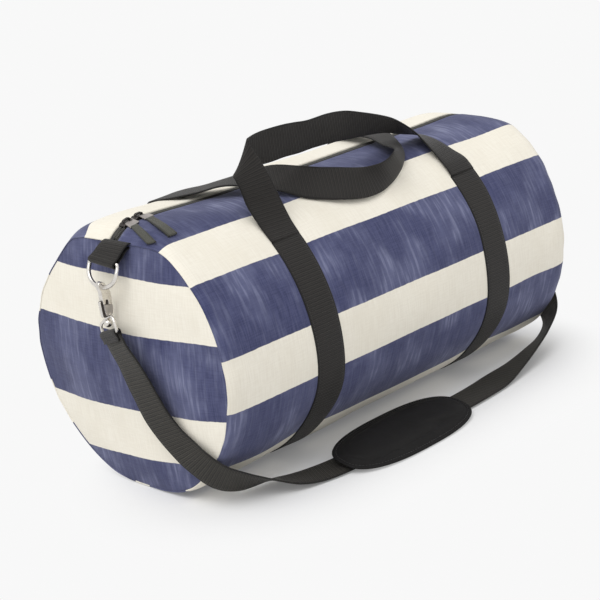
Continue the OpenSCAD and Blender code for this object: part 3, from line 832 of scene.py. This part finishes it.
# %% Zip tape
def tape_finish(name):
    """Woven polyester tape with a herringbone."""
    made, tree = surface(name)
    cloth, across, along = cloth_map(tree)
    weave = (along + across.maths("PINGPONG", 0.0016)).wave(FINE_WEAVE)
    tint = mix(tree, noise(tree, cloth, 0.012, 3), colour(14, 13, 14), colour(34, 33, 35))
    return dress(made, {"Base Color": tint, "Roughness": 0.7, "Sheen Weight": 0.15}, weave, 0.8, 0.0002)


zip_tape_black = tape_finish("black_zip_tape")
TAPE_WIDTH, TAPE_T, TAPE_DOWN = 0.0148, 0.0007, 0.0016
# the rows part round this place, between the two sliders
EYE, EYE_HALF, EYE_GAP = -0.2405, 0.017, 0.0021


def parting(x):
    """How far a row of teeth stands back from the closed line."""
    return EYE_GAP * np.maximum(0, 1 - ((x - EYE) / EYE_HALF) ** 2)


zip_x = np.linspace(-0.2655, 0.2655, 178)
for label, sign in (("front", -1), ("rear", 1)):
    across = np.array([0.0010, 0.003, 0.006, 0.009, 0.012, TAPE_WIDTH])
    grid_x, grid_y = np.meshgrid(zip_x, across, indexing="ij")
    start = parting(grid_x) + grid_y * (1 - parting(grid_x) / TAPE_WIDTH)
    points = skin(grid_x, -sign * start / RADIUS, -TAPE_DOWN)
    faces = grid_faces(len(zip_x), len(across), flip=sign < 0)
    tape = piece_from(f"tape_{label}", points.reshape(-1, 3), faces, zip_tape_black,
                      np.stack([grid_y, grid_x], -1).reshape(-1, 2))
    thicken(tape, TAPE_T)
    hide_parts(f"zip_tape_{label}")
    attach(tape, "bag")

# %% Zip teeth
def moulded_finish(name, tint, rough):
    """Dark moulded nylon with a slight grain."""
    made, tree = surface(name)
    grain = noise(tree, node(tree, "ShaderNodeTexCoord").outputs["Object"], 0.0015, 3)
    return dress(made, {"Base Color": mix(tree, grain, tint, scaled(tint, 1.5)),
                        "Roughness": ramp(grain, 0.3, 0.7, rough - 0.06, rough + 0.08)})


TOOTH_PITCH = 0.0016
TOOTH = (0.0013, 0.0040, 0.0024)
# how far the middle of a row lies from the closed line, and under the canvas
TOOTH_BACK, TOOTH_DOWN = 0.0017, 0.0004
toother = maker_tree("zip teeth", 8, 5, turned=False)
# the coil is black nylon; its grey tone, lighter than the tape, is painted sheen
nylon = moulded_finish("black_nylon_painted_sheen", colour(52, 51, 47), 0.5)
for label, sign, shift in (("front", -1, 0.0), ("rear", 1, TOOTH_PITCH / 2)):
    row_x = np.linspace(-0.2640 + shift, 0.2640, 260)
    row = skin(row_x, -sign * (parting(row_x) + TOOTH_BACK) / RADIUS, -TOOTH_DOWN)
    teeth = made_by(toother, f"coil_{label}", [row], nylon, TOOTH_PITCH, TOOTH)
    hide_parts(f"zip_coil_{label}")
    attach(teeth, "bag")
    print("teeth", label, len(teeth.data.polygons) // 40)

# %% [markdown]
# ## Metal
# Ring, hook and eye are nickel-plated and the sliders have a darker plate.
# Each is formed from wire or pressed from sheet, so two makers are enough: a
# rod follows a line with a round section, and a slab is an outline with a
# thickness and softened edges. The finish is bright and nearly smooth, with
# faint polishing marks and dull spots where hands and rings rub.

# %% Metal finishes
def plated_finish(name, tint, rough):
    """Plated metal with faint polishing marks and rubbed spots."""
    made, tree = surface(name)
    place = node(tree, "ShaderNodeTexCoord").outputs["Object"]
    rub = noise(tree, place, 0.006, 3)
    fine = noise(tree, place, 0.0008, 2, stretch=(1, 1, 0.15))
    return dress(made, {"Base Color": mix(tree, ramp(rub, 0.35, 0.8), tint, scaled(tint, 0.80)),
                        "Roughness": ramp(rub + fine * 0.4, 0.4, 1.1, rough, rough + 0.16),
                        "Metallic": 1.0}, fine, 0.12, 0.0002)


nickel = plated_finish("bright_nickel", colour(222, 218, 212), 0.20)
dull_nickel = plated_finish("dull_nickel", colour(178, 174, 172), 0.34)
dark_plate = plated_finish("dark_nickel", colour(74, 70, 68), 0.36)
warm_plate = plated_finish("warm_plate", colour(172, 166, 162), 0.45)

# %% Rod and slab
ROD_STEPS, ROD_SIDES = 3, 12


def rod(name, line, radius, finish):
    """A round section swept along a line in millimetres. radius is one number, or one for each point."""
    spread = np.broadcast_to(np.asarray(radius, float), (len(line),))
    full = smooth_line(mm(np.column_stack([line, spread])), ROD_STEPS)
    middle, size = full[:, :3], full[:, 3:]
    along = unit(np.gradient(middle, axis=0))
    flat_way = np.linalg.svd(middle - middle.mean(axis=0))[2][-1]
    first = unit(flat_way - (along @ flat_way)[:, None] * along)
    second = np.cross(along, first)
    angle = np.linspace(0, 2 * np.pi, ROD_SIDES, endpoint=False)
    rings = [middle + size * (math.cos(a) * first + math.sin(a) * second) for a in angle]
    faces = grid_faces(len(middle), ROD_SIDES, closed=True, capped=True)
    return piece_from(name, np.stack(rings, 1).reshape(-1, 3), faces, finish)


def slab(name, face, depth, finish, soften=0.0005):
    """A flat part from the corners of one face and the way through it, in millimetres."""
    face, depth = mm(face), mm(depth)
    faces = grid_faces(2, len(face), closed=True, capped=True)
    made = piece_from(name, np.vstack([face, face + depth]), faces, finish, smooth=False)
    form = bmesh.new()
    form.from_mesh(made.data)
    bmesh.ops.recalc_face_normals(form, faces=form.faces)
    form.to_mesh(made.data)
    form.free()
    edge = made.modifiers.new("softened edge", "BEVEL")
    edge.width, edge.segments, edge.limit_method = soften, 2, "ANGLE"
    edge.angle_limit = math.radians(30)
    return made


def joined(name, parts):
    """Several pieces as one, each with its own finish."""
    form = bmesh.new()
    mesh = bpy.data.meshes.new(name)
    ready = [bpy.data.meshes.new_from_object(worked_out(part)) for part in parts]
    for number, piece in enumerate(ready):
        mesh.materials.append(piece.materials[0])
        piece.polygons.foreach_set("material_index", [number] * len(piece.polygons))
        form.from_mesh(piece)
    form.to_mesh(mesh)
    form.free()
    for part in parts:
        bpy.data.objects.remove(part)
    return shown(name, mesh)


def refinish(node_name, finish):
    """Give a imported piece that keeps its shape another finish."""
    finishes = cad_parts[node_name].data.materials
    finishes.clear()
    finishes.append(finish)

# %% [markdown]
# ## Rings, hooks and eyes
# The D-ring hangs from its tab by a straight bar. The snap hook grips the
# bow with a curled claw, closes with a lever on its outer side and turns on
# a rivet in the eye, whose arch carries the strap. Both ends are alike, so
# the right end is the left one seen in a mirror.

# %% Rings, hooks and eyes
claw = [(-296.8, 219.1), (-296.6, 221.7), (-294.5, 223.2), (-291.5, 223.2), (-288.9, 221.3), (-287.6, 218.5),
        (-284.7, 214.7), (-283.5, 211.2), (-283.1, 205.0), (-283.0, 198.7), (-287.5, 199.5), (-287.5, 203.4),
        (-288.9, 204.9), (-290.4, 204.3), (-291.1, 200.4), (-293.9, 200.8), (-294.4, 206.8), (-294.6, 213.9)]
sleeve = [(-293.9, 200.8), (-291.1, 200.4), (-287.5, 199.5), (-283.0, 198.6), (-283.0, 193.7),
          (-284.4, 189.1), (-287.6, 187.9), (-292.0, 188.9), (-293.1, 192.2)]
# a dark plate set back in the claw's slot stands for the shade inside it: painted shade
slot_back = [(-291.2, 199.5), (-287.2, 199.5), (-287.2, 205.2), (-291.2, 205.2)]
lever = [(-296.4, 203.6), (-294.6, 204.2), (-293.7, 198.0), (-292.4, 188.6), (-293.6, 187.4), (-295.2, 189.0)]
eye_line = [(-293, -8.7, 171.2), (-288, 6, 166.8), (-286.4, 10.8, 166.6), (-286, 13, 170),
            (-286.2, 12.6, 175.5), (-288, 4, 181.7), (-291, -4.2, 186.5), (-294, -13.6, 190.6),
            (-297, -20.5, 192.2), (-298.6, -24.8, 189.8), (-299.5, -27.4, 184.5), (-299.6, -28.2, 180.5),
            (-297.5, -24, 177.8), (-293, -8.7, 171.2)]
RING_WIRE, EYE_WIRE = 2.15, 1.55
BAR_X, BAR_Z, BOW_HALF = 282, 239.5, 21
t = np.radians(np.arange(0, 181, 15))
bow_z = 231 - 13.8 * np.sin(t)
ring_line = [(-BAR_X, 0, BAR_Z), (-BAR_X, 12, BAR_Z), (-BAR_X, 19.4, 239.3), (-282.4, BOW_HALF, 236.5)]
# the bow leans away from the bag and a little to the front
ring_line += [(-BAR_X - (BAR_Z - z) * 0.42, BOW_HALF * math.cos(a) - 3 * (BAR_Z - z) / 22, z)
              for a, z in zip(t, bow_z)]
ring_line += [(-282.4, -BOW_HALF, 236.5), (-BAR_X, -19.4, 239.3), (-BAR_X, -12, BAR_Z), (-BAR_X, 0, BAR_Z)]
stem_line = [(-288.2, -3.2, 190.5), (-288.6, -3.4, 188.4), (-289.4, -4.2, 187.4), (-290.6, -5.6, 185.4),
             (-291.4, -6.4, 184.4), (-292.4, -7.4, 183.2), (-293.6, -8.6, 181.6), (-294.4, -9.6, 180.4)]
stem_size = [3.4, 3.6, 2.6, 2.0, 2.2, 3.9, 3.9, 2.4]


def mirrored(points, side):
    """Points of the left end, or of the right end as its mirror image."""
    return np.array(points, float) * (-side, 1, 1)


def cut(name, outline, side, front, depth, finish, soften=0.0005):
    """A slab from an outline of (x, z) on one end, that starts at y = front."""
    return slab(name, mirrored([(x, front, z) for x, z in outline], side), (0, depth, 0), finish, soften)


thumb = [(x - 0.5, z) for x, z in lever]
for side, label in ENDS:
    ring = rod(f"ring_{label}_wire", mirrored(ring_line, side), RING_WIRE, nickel)
    eye = rod(f"eye_{label}_wire", mirrored(eye_line, side), EYE_WIRE, nickel)
    case = joined(f"hook_{label}_case", [
        cut("claw", claw, side, -6, 5.4, nickel), cut("sleeve", sleeve, side, -6.3, 6.0, dull_nickel, 0.0008),
        cut("slot", slot_back, side, -5.2, 3.6, dark_plate),
        rod("stem", mirrored(stem_line, side), stem_size, nickel)])
    # the dark plate, a little larger than the bright thumb, shows as thin dark lines round it: painted shade
    # in the gap between lever and case
    catch = joined(f"hook_{label}_lever", [
        cut("thumb", thumb, side, -5.0, 3.6, nickel), cut("lever_gap_shade", lever, side, -5.6, 4.8, dark_plate)])
    for part, node_name, body in ((ring, "d_ring", "ring"), (eye, "swivel_eye", "ring"),
                                  (catch, "hook_gate", "gate")):
        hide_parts(f"{node_name}_{label}")
        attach(part, f"{body}_{label}")
    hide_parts(f"hook_body_{label}", f"gate_pin_{label}", f"gate_spring_{label}")
    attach(case, f"hook_{label}")
    print("hook", label, len(case.data.polygons), "faces")
refinish("strap_adjuster", dark_plate)

# %% [markdown]
# ## Seam tape
# The raw edges of the end seams are bound with a black tape on the inside. It
# follows the same skin as the canvas, a few millimetres under it, and leaves
# the zip free.

# %% Seam tape inside
binding = tape_finish("black_seam_tape")
# the tape stops short of the zip by this turn on either side
TAPE_GAP = 0.26
bound = signed(np.linspace(TAPE_GAP, 2 * np.pi - TAPE_GAP, 120))
for side, label in ENDS:
    edges = [skin(np.full(len(bound), side * (HALF - back)), bound, -drop)
             for back, drop in ((0.0035, 0.0035), (0.0065, 0.0100))]
    tape, _ = ribbon(f"seam_tape_{label}", edges[0], edges[1], thickness=0.0016, steps=1, finish=binding)
    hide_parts(f"seam_binding_{label}")
    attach(tape, "bag")

# %% [markdown]
# ## Ring tab
# A short loop of the same webbing is caught in the end seam and holds the
# straight side of the D-ring. It runs down from the seam, goes round the bar
# and comes back up behind itself.

# %% Ring tabs
bar_x, bar_z = BAR_X / 1000, BAR_Z / 1000
TAB_HALF = (WEB_W - 0.0006) / 2
SEWN_ABOVE = 0.0165
for side, label in ENDS:
    roll_r = 0.0028 + WEB_T / 2
    angles = np.radians(np.linspace(75, -205, 10))
    loop = [(HALF - 0.003, 0.2550), (HALF + 0.0010, 0.2570), (HALF + 0.0048, 0.2562), (HALF + 0.0092, 0.2515),
            (HALF + 0.0124, 0.2462), (bar_x + 0.0001, 0.2443)]
    loop += [(bar_x + roll_r * math.cos(a), bar_z + roll_r * math.sin(a)) for a in angles]
    loop += [(HALF + 0.0072, 0.2452), (HALF + 0.0040, 0.2505), (HALF - 0.001, 0.2530)]
    loop = np.array(loop)
    # the tab is sewn in a little askew, and its bar end lifts at the back
    height = (loop[:, 1] - bar_z) / SEWN_ABOVE
    askew, tip = -0.0085 * np.clip(height, 0, 1), 0.0022 * np.clip(1 - height, 0, 1)
    first = np.stack([side * loop[:, 0], TAB_HALF + askew, loop[:, 1] + tip], 1)
    second = np.stack([side * loop[:, 0], askew - TAB_HALF, loop[:, 1] - tip * 0.4], 1)
    tab, _ = ribbon(f"tab_webbing_{label}", first, second, thickness=WEB_T * 0.95, steps=4)
    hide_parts(f"ring_tab_{label}")
    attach(tab, "bag")

# %% [markdown]
# ## Strap ends
# At each hook the strap goes round the eye's lower bar, folds back on itself
# and is sewn down. The folded end turns with the ring and the eye.

# %% Strap ends
fold_way = [(1.3, 9), (1.5, 5), (2.5, 2.2), (2.9, 0), (2.1, -2.1), (0, -2.9), (-2.1, -2.1), (-2.9, 0),
            (-2.6, 4), (-2.3, 9), (-2.2, 14.5)]
STRAP_HALF = 19.2
for side, label in ENDS:
    bar_middle = mirrored([(-293.0, -8.7, 172.2)], side)[0]
    bar = unit(np.array([side * 0.22, -0.919, 0.326]))
    down = np.array([side * 0.05, -0.40, -0.90])
    down = unit(down - (down @ bar) * bar)
    outward = np.cross(down, bar) * -side
    rows = [mm([bar_middle + half * bar + n * outward + d * down for n, d in fold_way])
            for half in (-STRAP_HALF, STRAP_HALF)]
    end, _ = ribbon(f"strap_end_webbing_{label}", rows[0], rows[1], thickness=WEB_T * 0.95, steps=4)
    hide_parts(f"strap_end_{label}")
    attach(end, f"ring_{label}")

# %% [markdown]
# ## Sliders and pulls
# Each slider is a small dark block on the teeth with a bridge over it. A
# pressed plate hangs from the bridge and carries a short grip of narrow
# webbing. The left pair lies over the drooping shoulder of the bag, so its
# plate leans outwards.

# %% Sliders and pulls
GRIP_W, GRIP_RIB_PAIR = 0.011, 0.0016
grip_webbing = webbing_finish("grip_webbing", colour(52, 52, 46), colour(88, 88, 79), GRIP_W, GRIP_RIB_PAIR)
slider_side = [(-6.5, 0), (6.5, 0), (7, 1.6), (4.5, 3.2), (-4.5, 3.2), (-7, 1.6)]
bridge_side = [(-5.2, 2.8), (-4.6, 5.0), (-2.5, 6.0), (2.5, 6.0), (4.6, 5.0), (5.2, 2.8), (3.6, 2.8),
               (2.8, 4.4), (-2.8, 4.4), (-3.6, 2.8)]
pulls = {
    "left": dict(
        at=(-247.5, 267.6), lean=15,
        plate=[(-252.9, -3.6, 270.2), (-241.2, -0.2, 272.0), (-244.8, -15.6, 271.5), (-256.3, -15.6, 268.3)],
        first=[(-255.6, -15.2, 268.4), (-262.3, -33.9, 263.7), (-267.6, -51.0, 259.2)],
        second=[(-249.8, -18.6, 270.2), (-258.7, -44.0, 266.4), (-264.4, -61.2, 261.9)]),
    "right": dict(
        at=(-232.5, 269.4), lean=3,
        plate=[(-234.6, -2.6, 273.0), (-222.6, -4.2, 272.5), (-225.1, -14.2, 272.5), (-237.9, -16.1, 272.0)],
        first=[(-237.0, -16.4, 271.4), (-249.0, -47.8, 269.8), (-250.7, -63.0, 263.4)],
        second=[(-228.4, -16.8, 271.6), (-238.5, -47.3, 269.8), (-239.5, -62.7, 263.5)])}
for label, made in pulls.items():
    lean = math.radians(made["lean"])
    block = []
    for outline, half_width in ((slider_side, 4.6), (bridge_side, 1.5)):
        placed = [(made["at"][0] + x * math.cos(lean) - z * math.sin(lean), -half_width,
                   made["at"][1] + x * math.sin(lean) + z * math.cos(lean)) for x, z in outline]
        block.append(slab("block", placed, (0, 2 * half_width, 0), dark_plate, 0.0004))
    slider = joined(f"slider_{label}_block", block)
    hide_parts(f"zip_slider_{label}")
    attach(slider, f"slider_{label}")
    plate = slab(f"pull_{label}_plate", made["plate"], (0.3, 0.4, -1.5), warm_plate, 0.0004)
    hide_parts(f"zip_pull_{label}")
    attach(plate, f"pull_{label}")
    grip, _ = ribbon(f"grip_{label}", mm(made["first"]), mm(made["second"]), thickness=0.0020, steps=8,
                     finish=grip_webbing)
    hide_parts(f"pull_strip_{label}")
    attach(grip, f"pull_{label}")

# %% [markdown]
# ## Shoulder pad
# The pad is a foam core in a smooth black cover, with a thin sewn rim round
# it. Cover and rim are each stacked from rings of points: the top rises like
# a cushion and the underside stays flat. A short cloth simulation then blows
# the cover up a little, so that it gets the soft look of padding.

# %% Shoulder pad
PAD = np.array([-0.046, -0.146])
PAD_LEN, PAD_WIDE, PAD_LOW = 0.188, 0.076, 0.0012
PAD_TILT = math.radians(11)
PAD_POINTS = 120
# how square the round ends are: 2 is a circle
PAD_SQUARE = 2.6


def tilted(points):
    """Lean the flat pad on its front edge: its back edge rides up on the twisted strap."""
    points = np.array(points, float)
    y = points[:, 1] - (PAD[1] - PAD_WIDE / 2)
    z = points[:, 2] - PAD_LOW
    points[:, 1] += y * (math.cos(PAD_TILT) - 1) - z * math.sin(PAD_TILT)
    points[:, 2] += y * math.sin(PAD_TILT) + z * (math.cos(PAD_TILT) - 1)
    return points


def pad_ring(inset, height):
    """Points round the pad at a distance inside its edge and a height over its underside."""
    radius, reach = PAD_WIDE / 2 - inset, (PAD_LEN - PAD_WIDE) / 2
    angle = np.linspace(0, 2 * np.pi, PAD_POINTS, endpoint=False)
    c, s = np.cos(angle), np.sin(angle)
    shape = (np.abs(c) ** PAD_SQUARE + np.abs(s) ** PAD_SQUARE) ** (-1 / PAD_SQUARE)
    ring = np.stack([(reach + radius) * shape * c, radius * shape * s], 1)
    return np.column_stack([PAD + ring, np.full(PAD_POINTS, PAD_LOW + height)])


def stacked(name, insets, heights):
    """A closed form between rings of the pad."""
    rings = [pad_ring(inset, height) for inset, height in zip(insets, heights)]
    faces = grid_faces(len(rings), PAD_POINTS, closed=True, capped=True)
    return piece_from(name, tilted(np.vstack(rings)), faces, pad_cover)


def cover_finish(name):
    """Smooth black woven cover with a faint crease pattern."""
    made, tree = surface(name)
    place = node(tree, "ShaderNodeTexCoord").outputs["Object"]
    grain, crease = noise(tree, place, 0.0012, 2), noise(tree, place, 0.02, 3)
    return dress(made, {"Base Color": mix(tree, crease, colour(15, 14, 14), colour(25, 24, 24)),
                        "Roughness": 0.75, "Specular IOR Level": 0.22}, grain * 0.0001 + crease * 0.0012, 0.6)


pad_cover = cover_finish("black_pad_cover")


# %% Puffing the cover
def places(mesh):
    """Where the points of a mesh are."""
    return np.array([v.co[:] for v in mesh.vertices])


def puffed(piece, voxel, pressure, cap):
    """Blow a closed cover up with a cloth simulation and keep the result as plain mesh."""
    scene = bpy.context.scene
    even = piece.modifiers.new("even", "REMESH")
    even.mode, even.voxel_size = "VOXEL", voxel
    mesh = bpy.data.meshes.new_from_object(worked_out(piece))
    piece.modifiers.clear()
    piece.data = mesh
    start = places(mesh)
    blow = piece.modifiers.new("blow", "CLOTH")
    blow.settings.use_pressure = True
    blow.settings.uniform_pressure_force = pressure
    blow.settings.effector_weights.gravity = 0
    for step in range(1, 21):
        scene.frame_set(step)
    end = places(worked_out(piece).to_mesh())
    piece.modifiers.clear()
    scene.frame_set(1)
    move = end - start
    far = np.linalg.norm(move, axis=1, keepdims=True)
    end = start + move * np.minimum(1, cap / np.maximum(far, 1e-9))
    end[:, 2] = np.maximum(end[:, 2], start[:, 2].min())
    mesh.vertices.foreach_set("co", end.ravel())
    print(piece.name, "swelled by up to", round(float(far.max()) * 1000, 1), "mm, kept to", cap * 1000)
    mesh.polygons.foreach_set("use_smooth", [True] * len(mesh.polygons))
    if not mesh.materials:
        mesh.materials.append(pad_cover)
    mesh.update()
    finer = piece.modifiers.new("finer", "SUBSURF")
    finer.levels = finer.render_levels = 1


# %% Pad, rim and its stitches
pad = stacked("padded_cover", [0.0085, 0.0065, 0.0062, 0.0075, 0.010, 0.013, 0.017, 0.022, 0.028, 0.034],
              [0.0004, 0.0012, 0.0022, 0.0036, 0.0048, 0.0058, 0.0066, 0.0072, 0.0075, 0.0076])
puffed(pad, voxel=0.0035, pressure=4.0, cap=0.0030)
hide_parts("shoulder_pad")
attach(pad, "pad")
pad_rim = stacked("pad_rim", [0.0120, 0.0004, 0, 0.0004, 0.0030, 0.0050, 0.0068, 0.0090, 0.0120],
                  [0, 0, 0.0009, 0.0018, 0.0024, 0.0022, 0.0030, 0.0046, 0.0058])
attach(pad_rim, "pad")
# the rim's stitches: how far inside its edge they run, and how high
RIM_IN, RIM_UP = 0.0040, 0.0023
rim = pad_ring(RIM_IN, RIM_UP)
rim_stitch = made_by(stitcher, "pad_stitch", [tilted(np.vstack([rim, rim[:1]]))], thread_black, ZIP_PITCH,
                     (0.0025, THREAD, THREAD))
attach(rim_stitch, "pad")
refinish("pad_loops", zip_tape_black)
